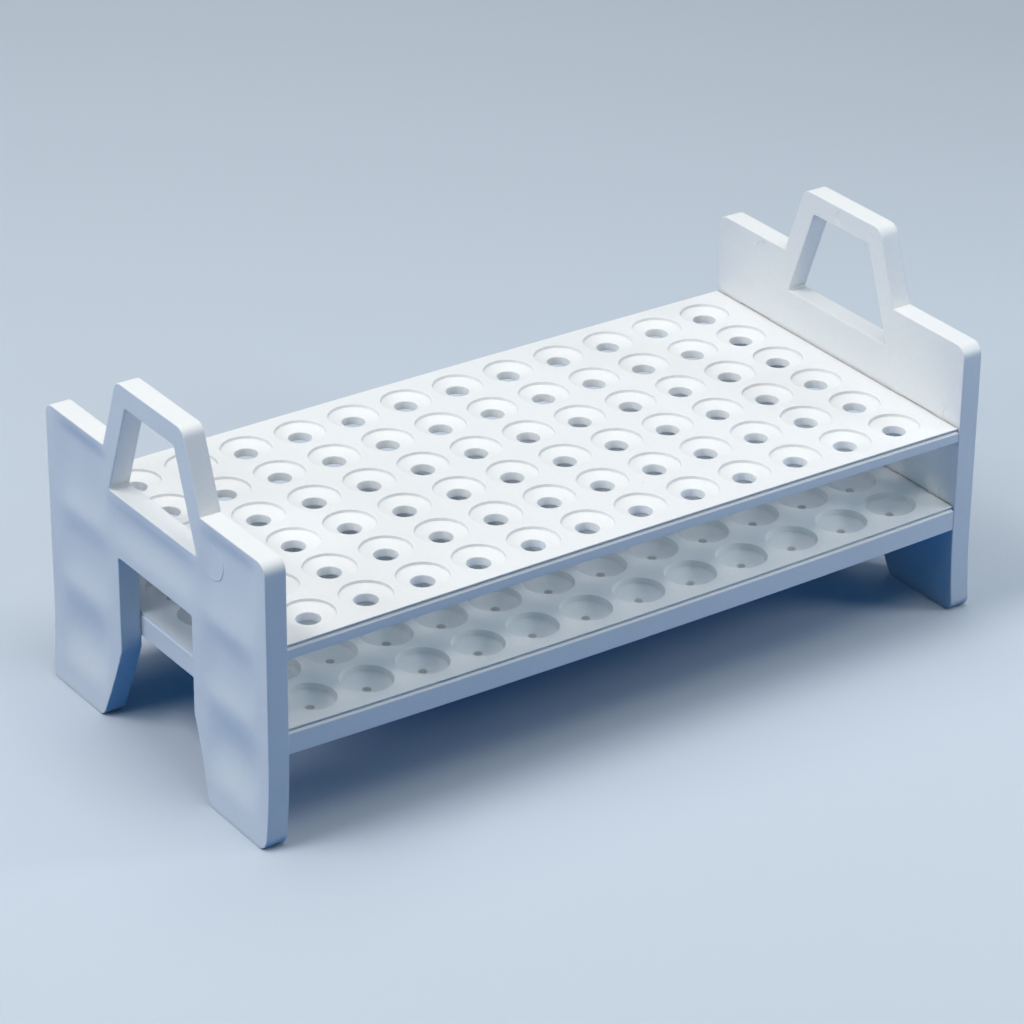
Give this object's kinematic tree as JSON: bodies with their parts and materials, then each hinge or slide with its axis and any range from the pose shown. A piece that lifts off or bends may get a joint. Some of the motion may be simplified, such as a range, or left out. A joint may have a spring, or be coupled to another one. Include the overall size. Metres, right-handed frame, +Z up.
{
  "type": "microcentrifuge tube rack",
  "caption": "White plastic rack with two handled end plates, a top tray of funnel-mouthed tube wells and a dimpled bottom tray.",
  "frame": {"origin": "middle of the rack at foot level", "axes": "+X along the rack's length, +Y across it, +Z up"},
  "size_m": [0.2418, 0.1146, 0.108],
  "materials": {
    "plate_plastic": "satin moulded white polypropylene, faint flow ripples",
    "tray_plastic": "satin moulded white polypropylene, smooth"
  },
  "bodies": {
    "root": {"end_plate_left": "plate_plastic", "end_plate_right": "plate_plastic", "top_tray": "tray_plastic", "bottom_tray": "tray_plastic"}
  },
  "joints": []
}
